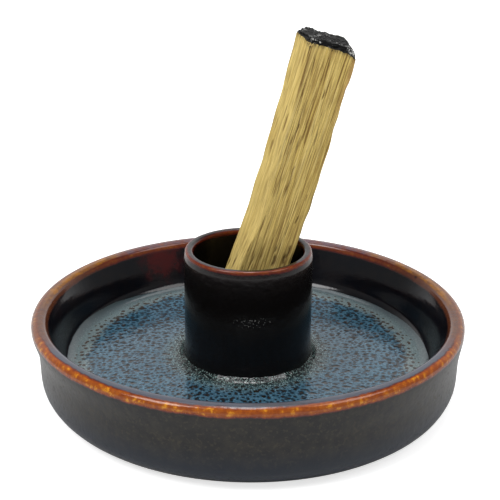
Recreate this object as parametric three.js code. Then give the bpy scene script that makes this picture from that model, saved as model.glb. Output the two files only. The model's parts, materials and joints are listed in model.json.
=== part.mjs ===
// Palo santo holder: a thrown ceramic dish with a cup in the middle, and the stick of wood that it holds.
// Millimetres, +Z up. The origin is on the dish's axis, at the table.

import * as THREE from 'three';

// Dish
const RIM_RADIUS = 64;
const RIM_TOP = 25.4;
const RIM_THICKNESS = 4.7;
const RIM_ROUNDING = 1.9;
const LIP_FLARE = 1.1;
const LIP_HEIGHT = 10;
const LIP_LAND = 1;
const LIP_LAND_ROUNDING = 9;
const LIP_SWEEP_RADIUS = 30;
const WALL_TAPER = 0.5;
const FOOT_CORNER_RADIUS = 8.8;
const FOOT_RING_WIDTH = 5;
const FOOT_RING_HEIGHT = 4;
const FOOT_RING_DRAFT = 0.8;
const FOOT_RING_ROUNDING = 0.5;
const FOOT_RECESS_FILLET = 1.5;
const FLOOR_THICKNESS = 5.9;
const INNER_WALL_RUN = 3.9;
const COVE_RADIUS = 4.5;

// Cup
const CUP_RADIUS = 19.1;
const CUP_WALL = 2.7;
const CUP_HEIGHT = 34.5;
const CUP_RIM_ROUNDING = 0.9;
const CUP_FOOT_FLARE = 0.4;
const CUP_FOOT_FLARE_HEIGHT = 3.5;
const CUP_FOOT_SWEEP_RADIUS = 6;

// Coil of clay pressed round the cup's foot to join it to the floor
const COIL_WIDTH = 2.6;
const COIL_HEIGHT = 1.5;
const COIL_EDGE = 0.6;
const COIL_COVE_RADIUS = 0.8;

// Glaze that has pooled on the floor and crept up the cove
const POOL_DEPTH = 0.6;
const POOL_CLIMB = THREE.MathUtils.degToRad(42);

// Stick of split wood
const STICK_WIDTH = 16.9;
const STICK_THICKNESS = 15.6;
const STICK_LENGTH = 98.2;
const STICK_SPIN = THREE.MathUtils.degToRad(4);
const STICK_BOW = 1.8;
const STICK_BACK_OFFSET = 3.4;
const STICK_FACET_WIDTH = 4;
const STICK_FACET_DEPTH = 4.5;
const STICK_LEFT_INSET = 4;
const STICK_RIGHT_INSET = 0.3;
const STICK_CORNER_ROUNDING = 0.6;
const LEDGE_DEPTH = 0.5;
const LEDGE_FROM_END = 9;
const LEDGE_RUN = 3;

// Burnt end of the stick
const CHAR_DEPTH = 2.3;
const CHAR_WAVE = 0.8;
const CHAR_EDGE_ROUNDING = 0.7;
const CHAR_LUMP = 0.25;
const CHAR_LUMP_SPACING = 3.5;

// Gap that keeps neighbouring pieces apart
const SEAT_GAP = 0.3;

// Faceting
const DISH_SIDES = 72;
const CUP_SIDES = 48;
const ARC_STEP = Math.PI / 8;
const STICK_STATIONS = 12;
const MAX_LEAN = Math.PI / 4;
const LEAN_HALVINGS = 30;

// Heights and radii that several pieces share
const FLOOR_TOP = FOOT_RING_HEIGHT + FLOOR_THICKNESS;
const RIM_INNER_RADIUS = RIM_RADIUS - RIM_THICKNESS;
const INNER_WALL_FOOT_RADIUS = RIM_INNER_RADIUS - INNER_WALL_RUN;
const CUP_BORE_RADIUS = CUP_RADIUS - CUP_WALL;
const CUP_FOOT_RADIUS = CUP_RADIUS + CUP_FOOT_FLARE;
const CUP_TOP = FLOOR_TOP + CUP_HEIGHT;
const COIL_INNER_RADIUS = CUP_FOOT_RADIUS + SEAT_GAP;
const COIL_OUTER_RADIUS = COIL_INNER_RADIUS + COIL_WIDTH;

const glazed = (color, roughness) => new THREE.MeshStandardMaterial({ color, roughness, metalness: 0 });
const dishGlaze = glazed(0x3b3a38, 0.45);
const cupGlaze = glazed(0x1b1a1b, 0.3);
const coilGlaze = glazed(0x56666c, 0.25);
const poolGlaze = glazed(0x4a6f88, 0.2);
const splitWood = new THREE.MeshStandardMaterial({ color: 0xc0a765, roughness: 0.8, metalness: 0 });
const burntWood = new THREE.MeshStandardMaterial({ color: 0x131312, roughness: 0.95, metalness: 0 });

// Points along the arc that rounds one corner of an outline.
function filletArc(before, corner, after, radius) {
  const towardsBefore = before.clone().sub(corner).normalize();
  const towardsAfter = after.clone().sub(corner).normalize();
  const halfAngle = Math.acos(towardsBefore.dot(towardsAfter)) / 2;
  const bisector = towardsBefore.clone().add(towardsAfter).normalize();
  const centre = corner.clone().addScaledVector(bisector, radius / Math.sin(halfAngle));
  const start = corner.clone().addScaledVector(towardsBefore, radius / Math.tan(halfAngle));
  const turn = (Math.PI - 2 * halfAngle) * Math.sign(towardsAfter.cross(towardsBefore));
  const steps = Math.max(2, Math.ceil(Math.abs(turn) / ARC_STEP));
  return Array.from({ length: steps + 1 }, (_, i) => start.clone().rotateAround(centre, (turn * i) / steps));
}

// Turns [x, y, fillet] corners into an outline. An open outline keeps its two ends sharp.
function roundedOutline(corners, closed) {
  const points = corners.map(([x, y]) => new THREE.Vector2(x, y));
  const count = corners.length;
  return corners.flatMap(([, , fillet], i) => {
    const isEnd = !closed && (i === 0 || i === count - 1);
    if (!fillet || isEnd) return [points[i]];
    return filletArc(points[(i + count - 1) % count], points[i], points[(i + 1) % count], fillet);
  });
}

// Revolves an outline round +Z. It runs anticlockwise, with the radius as x and the height as y.
function revolve(outline, sides) {
  return new THREE.LatheGeometry(outline, sides).rotateX(Math.PI / 2);
}

function revolveRing(outline, sides) {
  return revolve([...outline, outline[0]], sides);
}

function dishGeometry() {
  const wallRadius = RIM_RADIUS - LIP_FLARE;
  const wallFootRadius = wallRadius - WALL_TAPER;
  const recessRadius = wallFootRadius - FOOT_CORNER_RADIUS - FOOT_RING_WIDTH;
  const landFoot = RIM_TOP - RIM_ROUNDING - LIP_LAND;
  return revolve(roundedOutline([
    [0, FOOT_RING_HEIGHT],
    [recessRadius - FOOT_RING_DRAFT, FOOT_RING_HEIGHT, FOOT_RECESS_FILLET],
    [recessRadius, 0, FOOT_RING_ROUNDING],
    [wallFootRadius, 0, FOOT_CORNER_RADIUS],
    [wallRadius, RIM_TOP - LIP_HEIGHT, LIP_SWEEP_RADIUS],
    [RIM_RADIUS, landFoot, LIP_LAND_ROUNDING],
    [RIM_RADIUS, RIM_TOP, RIM_ROUNDING],
    [RIM_INNER_RADIUS, RIM_TOP, RIM_ROUNDING],
    [INNER_WALL_FOOT_RADIUS, FLOOR_TOP, COVE_RADIUS],
    [0, FLOOR_TOP],
  ], false), DISH_SIDES);
}

function cupGeometry() {
  return revolveRing(roundedOutline([
    [CUP_BORE_RADIUS, FLOOR_TOP],
    [CUP_FOOT_RADIUS, FLOOR_TOP],
    [CUP_RADIUS, FLOOR_TOP + CUP_FOOT_FLARE_HEIGHT, CUP_FOOT_SWEEP_RADIUS],
    [CUP_RADIUS, CUP_TOP, CUP_RIM_ROUNDING],
    [CUP_BORE_RADIUS, CUP_TOP, CUP_RIM_ROUNDING],
  ], true), CUP_SIDES);
}

function coilGeometry() {
  return revolveRing(roundedOutline([
    [COIL_INNER_RADIUS, FLOOR_TOP],
    [COIL_OUTER_RADIUS, FLOOR_TOP],
    [COIL_OUTER_RADIUS, FLOOR_TOP + COIL_EDGE],
    [COIL_INNER_RADIUS + COIL_EDGE, FLOOR_TOP + COIL_EDGE, COIL_COVE_RADIUS],
    [COIL_INNER_RADIUS + COIL_EDGE, FLOOR_TOP + COIL_HEIGHT],
    [COIL_INNER_RADIUS, FLOOR_TOP + COIL_HEIGHT],
  ], true), CUP_SIDES);
}

// The pool lies flat from the coil to the cove, then follows the cove's own arc upwards.
function poolGeometry() {
  const wallLean = Math.atan2(INNER_WALL_RUN, RIM_TOP - FLOOR_TOP);
  const coveTangent = COVE_RADIUS / Math.tan((Math.PI / 2 + wallLean) / 2);
  const coveX = INNER_WALL_FOOT_RADIUS - coveTangent;
  const coveY = FLOOR_TOP + COVE_RADIUS;
  const innerRadius = COIL_OUTER_RADIUS + SEAT_GAP;
  const down = -Math.PI / 2;
  const outline = new THREE.Path()
    .moveTo(innerRadius, FLOOR_TOP)
    .lineTo(coveX - SEAT_GAP, FLOOR_TOP)
    .absarc(coveX, coveY, COVE_RADIUS - SEAT_GAP, down, down + POOL_CLIMB, false)
    .absarc(coveX, coveY, COVE_RADIUS - POOL_DEPTH, down + POOL_CLIMB, down, true)
    .lineTo(innerRadius, FLOOR_TOP + POOL_DEPTH);
  return revolveRing(outline.getPoints(2), DISH_SIDES);
}

// Section of the stick, seen from its top end, with the front face towards -Y.
function stickSection() {
  const side = STICK_WIDTH / 2;
  const back = STICK_THICKNESS / 2;
  return roundedOutline([
    [-side, STICK_FACET_DEPTH - back, STICK_CORNER_ROUNDING],
    [STICK_FACET_WIDTH - side, -back, STICK_CORNER_ROUNDING],
    [side, -back, STICK_CORNER_ROUNDING],
    [side - STICK_RIGHT_INSET, back, STICK_CORNER_ROUNDING],
    [STICK_LEFT_INSET - side, back, STICK_CORNER_ROUNDING],
  ], true);
}

// Where a point of the section lies at a height along the stick, which is bowed and split to a ledge.
function stickPoint(point, height) {
  const ledgeTop = STICK_LENGTH - LEDGE_FROM_END;
  const ledge = LEDGE_DEPTH * THREE.MathUtils.smoothstep(height, ledgeTop - LEDGE_RUN, ledgeTop);
  const rightShare = Math.max(0, point.x) / (STICK_WIDTH / 2);
  const spun = new THREE.Vector2(point.x + ledge * rightShare, point.y);
  spun.rotateAround(new THREE.Vector2(), STICK_SPIN);
  const fromMiddle = (2 * height) / STICK_LENGTH - 1;
  return new THREE.Vector3(spun.x - STICK_BOW * fromMiddle ** 2, spun.y, height);
}

// Joins rings of points into one closed skin, from a point at the bottom to a point at the top.
function loft(bottom, rings, top) {
  const count = rings[0].length;
  const lastRing = rings.length - 1;
  const corner = (ring, i) => 1 + ring * count + (i % count);
  const topCorner = corner(rings.length, 0);
  const faces = [];
  for (let i = 0; i < count; i += 1) {
    faces.push(0, corner(0, i + 1), corner(0, i));
    for (let ring = 0; ring < lastRing; ring += 1) {
      faces.push(corner(ring, i), corner(ring, i + 1), corner(ring + 1, i + 1));
      faces.push(corner(ring, i), corner(ring + 1, i + 1), corner(ring + 1, i));
    }
    faces.push(topCorner, corner(lastRing, i), corner(lastRing, i + 1));
  }
  const geometry = new THREE.BufferGeometry().setFromPoints([bottom, ...rings.flat(), top]);
  geometry.setIndex(faces);
  geometry.computeVertexNormals();
  return geometry;
}

// Height of the burn line: it dips at the two corners of the front face and rises between them.
function burnHeight(point) {
  const faceWidth = STICK_WIDTH - STICK_FACET_WIDTH;
  const fromFaceMiddle = point.x - STICK_FACET_WIDTH / 2;
  const dip = -Math.cos((2 * Math.PI * fromFaceMiddle) / faceWidth);
  const frontShare = 0.5 - point.y / STICK_THICKNESS;
  return STICK_LENGTH - CHAR_DEPTH - CHAR_WAVE * dip * frontShare;
}

// Height of the crumbled end, always a little under the stick's full length.
function crumbledHeight(point) {
  const phase = (2 * Math.PI) / CHAR_LUMP_SPACING;
  return STICK_LENGTH - CHAR_LUMP * (1 + Math.sin(point.x * phase) * Math.cos(point.y * phase));
}

// A ring that keeps the section's shape at a share of its size, at a height given for each point.
function sectionRing(section, share, heightAt) {
  return section.map((point) => {
    const inner = point.clone().multiplyScalar(share);
    return stickPoint(inner, heightAt(inner));
  });
}

function sectionCentre(heightAt) {
  const centre = new THREE.Vector2();
  return stickPoint(centre, heightAt(centre));
}

function woodGeometry(section) {
  const ledgeTop = STICK_LENGTH - LEDGE_FROM_END;
  const ledgeFoot = ledgeTop - LEDGE_RUN;
  const stations = Array.from({ length: STICK_STATIONS }, (_, i) => (ledgeFoot * i) / (STICK_STATIONS - 1));
  stations.push(ledgeTop - LEDGE_RUN / 2, ledgeTop);
  const sides = stations.map((height) => sectionRing(section, 1, () => height));
  const burnt = [1, 0.7, 0.35].map((share) => sectionRing(section, share, burnHeight));
  return loft(sectionCentre(() => 0), [...sides, ...burnt], sectionCentre(burnHeight));
}

function charGeometry(section) {
  const underside = (point) => burnHeight(point) + SEAT_GAP;
  const shoulder = () => STICK_LENGTH - CHAR_EDGE_ROUNDING - 2 * CHAR_LUMP;
  const softened = 1 - (2 * CHAR_EDGE_ROUNDING) / STICK_WIDTH;
  const rings = [
    sectionRing(section, 0.35, underside),
    sectionRing(section, 0.7, underside),
    sectionRing(section, 1, underside),
    sectionRing(section, 1, shoulder),
    sectionRing(section, softened, crumbledHeight),
    sectionRing(section, 0.7, crumbledHeight),
    sectionRing(section, 0.35, crumbledHeight),
  ];
  return loft(sectionCentre(underside), rings, sectionCentre(crumbledHeight));
}

// Half the bore's width, less the gap, at a distance behind the cup's axis.
function halfBoreAt(back) {
  return Math.sqrt((CUP_BORE_RADIUS - SEAT_GAP) ** 2 - back ** 2);
}

// Seat of the stick at one lean: a foot corner on the floor and a flank on the rim.
function seatAtLean(section, lean) {
  const foot = section.map((point) => stickPoint(point, 0));
  const lowest = Math.max(...foot.map((point) => point.x)) * Math.sin(lean);
  const z = FLOOR_TOP + SEAT_GAP + lowest;
  const contact = CUP_TOP - CUP_RIM_ROUNDING - z;
  const reaches = section.map((point, i) => {
    const flank = stickPoint(point, (contact + foot[i].x * Math.sin(lean)) / Math.cos(lean));
    const across = flank.x * Math.cos(lean) + flank.z * Math.sin(lean);
    return halfBoreAt(STICK_BACK_OFFSET + flank.y) - across;
  });
  const x = Math.min(...reaches);
  const spares = foot.map((point) => halfBoreAt(STICK_BACK_OFFSET + point.y) + x + point.x * Math.cos(lean));
  return { x, z, lean, spare: Math.min(...spares) };
}

// The stick leans until its foot meets the far side of the bore.
function seatInCup(section) {
  let upright = 0;
  let leaning = MAX_LEAN;
  for (let i = 0; i < LEAN_HALVINGS; i += 1) {
    const middle = (upright + leaning) / 2;
    if (seatAtLean(section, middle).spare > 0) upright = middle;
    else leaning = middle;
  }
  return seatAtLean(section, upright);
}

function namedMesh(name, geometry, material) {
  const mesh = new THREE.Mesh(geometry, material);
  mesh.name = name;
  return mesh;
}

function stickGroup() {
  const section = stickSection();
  const seat = seatInCup(section);
  const stick = new THREE.Group();
  stick.add(namedMesh('palo_santo_stick', woodGeometry(section), splitWood));
  stick.add(namedMesh('charred_tip', charGeometry(section), burntWood));
  stick.position.set(seat.x, STICK_BACK_OFFSET, seat.z);
  stick.rotation.y = seat.lean;
  return stick;
}

const holder = new THREE.Group();
holder.add(namedMesh('dish', dishGeometry(), dishGlaze));
holder.add(namedMesh('cup', cupGeometry(), cupGlaze));
holder.add(namedMesh('luting_coil', coilGeometry(), coilGlaze));
holder.add(namedMesh('glaze_pool', poolGeometry(), poolGlaze));
holder.add(stickGroup());

export default holder;
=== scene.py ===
"""Palo santo holder: a glazed stoneware dish with a cup in its middle, and the split stick that leans in it.

Everything is in metres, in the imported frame: +Z up, the dish's axis at the origin, the front towards -Y.
"""
import json
import math
import random

import bmesh
import bpy
from mathutils import Matrix, Vector, kdtree, noise


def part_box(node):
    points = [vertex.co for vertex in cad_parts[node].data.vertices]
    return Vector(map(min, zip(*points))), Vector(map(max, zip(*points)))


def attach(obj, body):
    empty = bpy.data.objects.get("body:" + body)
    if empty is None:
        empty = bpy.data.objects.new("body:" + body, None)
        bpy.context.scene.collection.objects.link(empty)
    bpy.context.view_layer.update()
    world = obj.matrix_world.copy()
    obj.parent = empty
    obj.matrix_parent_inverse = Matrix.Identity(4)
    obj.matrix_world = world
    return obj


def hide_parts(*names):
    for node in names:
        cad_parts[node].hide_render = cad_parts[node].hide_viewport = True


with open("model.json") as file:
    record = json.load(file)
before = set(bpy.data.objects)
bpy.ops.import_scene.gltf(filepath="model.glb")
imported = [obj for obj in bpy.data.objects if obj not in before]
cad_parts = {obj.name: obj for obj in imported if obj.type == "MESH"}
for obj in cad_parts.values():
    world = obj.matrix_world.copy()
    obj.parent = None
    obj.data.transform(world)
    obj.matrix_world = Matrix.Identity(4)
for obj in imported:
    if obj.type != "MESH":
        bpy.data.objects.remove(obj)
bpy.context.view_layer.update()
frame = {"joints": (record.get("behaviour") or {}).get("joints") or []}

MM = 0.001
SECTORS = 30

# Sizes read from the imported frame
_, dish_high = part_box("dish")
cup_low, cup_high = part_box("cup")
_, coil_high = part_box("luting_coil")
_, pool_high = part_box("glaze_pool")
RIM_RADIUS = dish_high.x
RIM_TOP = dish_high.z
FLOOR = cup_low.z
CUP_TOP = cup_high.z
CUP_FOOT_RADIUS = cup_high.x
COIL_RADIUS = coil_high.x
POOL_EDGE_RADIUS = pool_high.x
LIFT_AXIS = Vector(frame["joints"][0]["axis"])
LEAN = math.atan2(LIFT_AXIS.x, LIFT_AXIS.z)

# Sizes of the dish that its box doesn't give
RIM_THICKNESS = 4.7 * MM
RIM_TOP_WIDTH = 4.1 * MM
RIM_ROUNDING = 1.9 * MM
RIM_INNER_ROUNDING = 1.7 * MM
RIM_SLOPE_RUN = 0.9 * MM
RIM_SLOPE_DEPTH = 4 * MM
RIM_SLOPE_ROUNDING = 6 * MM
LIP_FLARE = 1.1 * MM
LIP_HEIGHT = 10 * MM
LIP_LAND = 1 * MM
LIP_LAND_ROUNDING = 9 * MM
LIP_SWEEP_RADIUS = 30 * MM
WALL_TAPER = 0.5 * MM
FOOT_CORNER_RADIUS = 8.8 * MM
FOOT_RING_WIDTH = 5 * MM
FOOT_RING_HEIGHT = 4 * MM
FOOT_RING_DRAFT = 0.8 * MM
FOOT_RING_ROUNDING = 0.5 * MM
FOOT_RECESS_FILLET = 1.5 * MM
INNER_WALL_RUN = 3.9 * MM
COVE_RADIUS = 4.5 * MM

# How far the thrown dish is out of true
RIM_OVAL = 0.55 * MM
RIM_RISE = 0.6 * MM
WALL_SHIFT = 0.4 * MM
FLOOR_OVAL = 0.5 * MM

# Cup
CUP_RADIUS = 19.1 * MM
CUP_WALL = 2.7 * MM
CUP_FOOT_FLARE = 0.3 * MM
CUP_FOOT_FLARE_HEIGHT = 5.5 * MM
CUP_FOOT_SWEEP_RADIUS = 10 * MM
CUP_SHOULDER_RUN = 0.45 * MM
CUP_SHOULDER_HEIGHT = 2.2 * MM
CUP_SHOULDER_ROUNDING = 3 * MM
CUP_RIM_OUTER_ROUNDING = 0.7 * MM
CUP_RIM_INNER_ROUNDING = 0.9 * MM

# Pooled glaze, its dimples, and the tongue of it that creeps furthest up the cove, in radians
POOL_DEPTH = 0.6 * MM
POOL_THINS_FROM = 49 * MM
PIT_SPACING = 1.5 * MM
PIT_DEPTH = 0.1 * MM
BORDER_RADIUS = 50.5 * MM
TONGUE_DIRECTION = -1.05
TONGUE_WIDTH = 0.42

# Glaze drawn up round the cup's foot
MENISCUS_REACH = 1.6 * MM
MENISCUS_SLOPE = 0.85
MENISCUS_STRAIGHT = 0.9 * MM
MENISCUS_EASING = 1.2 * MM
MENISCUS_SKIN = 0.13 * MM

# Stick, on its own axes: x across, y away from the front, z along it from its foot
STICK_FOOT = Vector((-5.549, 3.4, 12.231)) * MM
STICK_WIDTH = 16.9 * MM
STICK_THICKNESS = 15.6 * MM
STICK_LENGTH = 98.2 * MM
STICK_SPIN = math.radians(4)
STICK_BOW = 1.8 * MM
FACET_WIDTH = 4 * MM
FACET_DEPTH = 4.5 * MM
LEFT_INSET = 4 * MM
RIGHT_INSET = 0.3 * MM
CORNER_ROUNDING = 0.6 * MM
RIDGE_ROUNDING = 0.3 * MM
LEDGE_DEPTH = 0.5 * MM
LEDGE_TOP = STICK_LENGTH - 9 * MM
LEDGE_RUN = 3 * MM
CHAR_DEPTH = 1.8 * MM
CHAR_OVERLAP = 0.9 * MM

# Drying cracks of the front face, in millimetres: place across, lower and upper end, width
CRACKS = ((3.7, 30.7, 34.1, 0.45), (6.9, 33.9, 38.1, 0.3), (6.4, 32.1, 35.1, 0.35), (6.1, 45.5, 47.5, 0.25),
          (3.0, 35.0, 37.0, 0.2), (0.4, 58.5, 61.5, 0.15), (-1.8, 70.5, 74.0, 0.15), (2.6, 82.5, 85.0, 0.15))


# Meshes

def finished(name, bm, material, body, stands_for):
    """Makes the bmesh a piece with its material, riding on its body."""
    mesh = bpy.data.meshes.new(name)
    for face in bm.faces:
        face.smooth = True
    bm.to_mesh(mesh)
    bm.free()
    piece = bpy.data.objects.new(name, mesh)
    bpy.context.scene.collection.objects.link(piece)
    mesh.materials.append(material)
    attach(piece, body)
    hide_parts(*stands_for)


def rounded_outline(corners, step=math.radians(9)):
    """Outline through (x, y, fillet) corners, with an arc at each corner that has a fillet."""
    outline = []
    for i, (x, y, fillet) in enumerate(corners):
        corner = Vector((x, y))
        if not fillet:
            outline.append(corner)
            continue
        back = (Vector(corners[i - 1][:2]) - corner).normalized()
        ahead = (Vector(corners[(i + 1) % len(corners)][:2]) - corner).normalized()
        half = back.angle(ahead) / 2
        centre = corner + (back + ahead).normalized() * fillet / math.sin(half)
        spoke = corner + back * fillet / math.tan(half) - centre
        turn = math.pi - 2 * half
        if back.x * ahead.y - back.y * ahead.x > 0:
            turn = -turn
        steps = max(2, math.ceil(abs(turn) / step))
        for k in range(steps + 1):
            outline.append(centre + Matrix.Rotation(turn * k / steps, 2) @ spoke)
    return outline


def resampled(outline, spacing, closed):
    """The same outline with points no further apart than the spacing."""
    ends = outline[1:] + outline[:1] if closed else outline[1:]
    points = []
    for a, b in zip(outline, ends):
        count = max(1, math.ceil((b - a).length / spacing))
        points += [a.lerp(b, k / count) for k in range(count)]
    return points if closed else points + [outline[-1]]


def spun(outline, steps, closed):
    """A bmesh of the outline, (radius, height), turned once round: one sector is spun, then copied round."""
    bm = bmesh.new()
    verts = [bm.verts.new((p.x, 0, p.y)) for p in outline]
    edges = [bm.edges.new(pair) for pair in zip(verts, verts[1:])]
    if closed:
        edges.append(bm.edges.new((verts[-1], verts[0])))
    sector = math.tau / SECTORS
    bmesh.ops.spin(bm, geom=verts + edges, axis=(0, 0, 1), angle=sector, steps=steps // SECTORS)
    bmesh.ops.spin(bm, geom=bm.verts[:] + bm.edges[:] + bm.faces[:], axis=(0, 0, 1),
                   angle=math.tau - sector, steps=SECTORS - 1, use_duplicate=True)
    bmesh.ops.remove_doubles(bm, verts=bm.verts, dist=0.001 * MM)
    bmesh.ops.recalc_face_normals(bm, faces=bm.faces)
    return bm


def smoothstep(low, high, value):
    share = min(1.0, max(0.0, (value - low) / (high - low)))
    return share * share * (3 - 2 * share)


def bump_at(value, centre, width):
    return math.exp(-((value - centre) / width) ** 2)


def noise_at(spot, size):
    """Noise at a place on the floor, in swells of a size."""
    return noise.noise(spot.to_3d() / size)


def hand_wobble(bm, amount, seed):
    """Eases a thrown form slightly out of true, always inwards, so that its size holds."""
    for vert in bm.verts:
        spot = Vector((vert.co.x, vert.co.y, vert.co.z * 1.5)) / (28 * MM) + Vector((seed, 0, 0))
        inward = 1 - amount * (0.5 + 0.5 * noise.noise(spot)) / RIM_RADIUS
        vert.co.x *= inward
        vert.co.y *= inward


def make_dish(material):
    """The dish, out of true as thrown ones are: its rim oval and higher in front, its wall to the right."""
    wall = RIM_RADIUS - LIP_FLARE
    wall_foot = wall - WALL_TAPER
    recess = wall_foot - FOOT_CORNER_RADIUS - FOOT_RING_WIDTH
    inner = RIM_RADIUS - RIM_THICKNESS
    outline = rounded_outline([
        (0, FOOT_RING_HEIGHT, 0),
        (recess - FOOT_RING_DRAFT, FOOT_RING_HEIGHT, FOOT_RECESS_FILLET),
        (recess, 0, FOOT_RING_ROUNDING),
        (wall_foot, 0, FOOT_CORNER_RADIUS),
        (wall, RIM_TOP - LIP_HEIGHT, LIP_SWEEP_RADIUS),
        (RIM_RADIUS, RIM_TOP - RIM_ROUNDING - LIP_LAND, LIP_LAND_ROUNDING),
        (RIM_RADIUS, RIM_TOP, RIM_ROUNDING),
        (RIM_RADIUS - RIM_TOP_WIDTH, RIM_TOP, RIM_INNER_ROUNDING),
        (inner - RIM_SLOPE_RUN, RIM_TOP - RIM_SLOPE_DEPTH, RIM_SLOPE_ROUNDING),
        (inner - INNER_WALL_RUN, FLOOR, COVE_RADIUS),
        (0, FLOOR, 0),
    ])
    bm = spun(resampled(outline, spacing=1.2 * MM, closed=False), steps=240, closed=False)
    hand_wobble(bm, amount=0.12 * MM, seed=3)
    bm.normal_update()
    for vert in bm.verts:
        share = smoothstep(RIM_TOP - 8 * MM, RIM_TOP - 1.5 * MM, vert.co.z)
        outside = smoothstep(0, 0.5, vert.normal.to_2d().dot(vert.co.to_2d()) / RIM_RADIUS)
        across = (RIM_OVAL * share - FLOOR_OVAL * (1 - share) * (1 - outside)) * vert.co.x / RIM_RADIUS
        vert.co.x += across + WALL_SHIFT * (1 - share) * outside
        vert.co.z += RIM_RISE * share * smoothstep(0, 1, -vert.co.y / RIM_RADIUS)
    finished("glazed_dish", bm, material, "holder", ["dish"])


def make_cup(material):
    """The thrown ring of the cup, with a flared foot and a softened rim."""
    bore = CUP_RADIUS - CUP_WALL
    outline = rounded_outline([
        (bore, FLOOR, 0),
        (CUP_FOOT_RADIUS + CUP_FOOT_FLARE, FLOOR, 0),
        (CUP_RADIUS, FLOOR + CUP_FOOT_FLARE_HEIGHT, CUP_FOOT_SWEEP_RADIUS),
        (CUP_RADIUS, CUP_TOP - CUP_SHOULDER_HEIGHT, CUP_SHOULDER_ROUNDING),
        (CUP_RADIUS - CUP_SHOULDER_RUN, CUP_TOP, CUP_RIM_OUTER_ROUNDING),
        (bore, CUP_TOP, CUP_RIM_INNER_ROUNDING),
    ])
    bm = spun(resampled(outline, spacing=0.8 * MM, closed=True), steps=180, closed=True)
    hand_wobble(bm, amount=0.2 * MM, seed=11)
    finished("glazed_cup", bm, material, "holder", ["cup"])


def cove_centre():
    """Centre of the arc between floor and wall, as (radius, height)."""
    lean = math.atan2(INNER_WALL_RUN, RIM_TOP - FLOOR)
    tangent = COVE_RADIUS / math.tan((math.pi / 2 + lean) / 2)
    return Vector((RIM_RADIUS - RIM_THICKNESS - INNER_WALL_RUN - tangent, FLOOR + COVE_RADIUS))


def ceramic_height(radius):
    """Height of the bare floor and cove at a radius."""
    centre = cove_centre()
    out = max(0.0, radius - centre.x)
    return centre.y - math.sqrt(max(0.0, COVE_RADIUS ** 2 - out ** 2))


def pit_field():
    """Dimples scattered over the pool, with a row of larger ones along its border: a tree of their centres,
    and each one's radius and strength."""
    rng = random.Random(7)
    pits = []

    def ring(radius, spacing, low, high, weakest):
        count = int(math.tau * radius / spacing)
        turn = rng.uniform(0, math.tau)
        for k in range(count):
            angle = turn + math.tau * (k + rng.uniform(-0.35, 0.35)) / count
            reach = radius + rng.uniform(-0.4, 0.4) * spacing
            pits.append((Vector((math.cos(angle), math.sin(angle), 0)) * reach,
                         rng.uniform(low, high) * MM, rng.uniform(weakest, 1.0)))

    radius = CUP_RADIUS + 1 * MM
    while radius < BORDER_RADIUS - 1 * MM:
        ring(radius, PIT_SPACING, low=0.38, high=0.6, weakest=0.4)
        radius += PIT_SPACING
    for step in range(9):
        ring(CUP_RADIUS + (4 + 3.3 * step) * MM, 3.8 * MM, low=0.6, high=0.88, weakest=0.7)
    ring(BORDER_RADIUS - 0.1 * MM, 2.3 * MM, low=0.65, high=0.95, weakest=0.8)
    ring(BORDER_RADIUS - 2.2 * MM, 2.3 * MM, low=0.65, high=0.95, weakest=0.7)
    ring(BORDER_RADIUS + 1.5 * MM, 2.8 * MM, low=0.5, high=0.75, weakest=0.5)
    tree = kdtree.KDTree(len(pits))
    for i, (centre, _, _) in enumerate(pits):
        tree.insert(centre, i)
    tree.balance()
    return tree, [pit[1:] for pit in pits]


PIT_TREE, PITS = pit_field()


def pit_at(spot):
    """How deep in a dimple a place on the floor lies: 0 outside, 1 in the middle of a strong one."""
    deepest = 0.0
    for _, index, distance in PIT_TREE.find_n(Vector((spot.x, spot.y, 0)), 4):
        radius, strength = PITS[index]
        deepest = max(deepest, strength * (1 - (distance / radius) ** 2))
    return deepest


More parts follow.
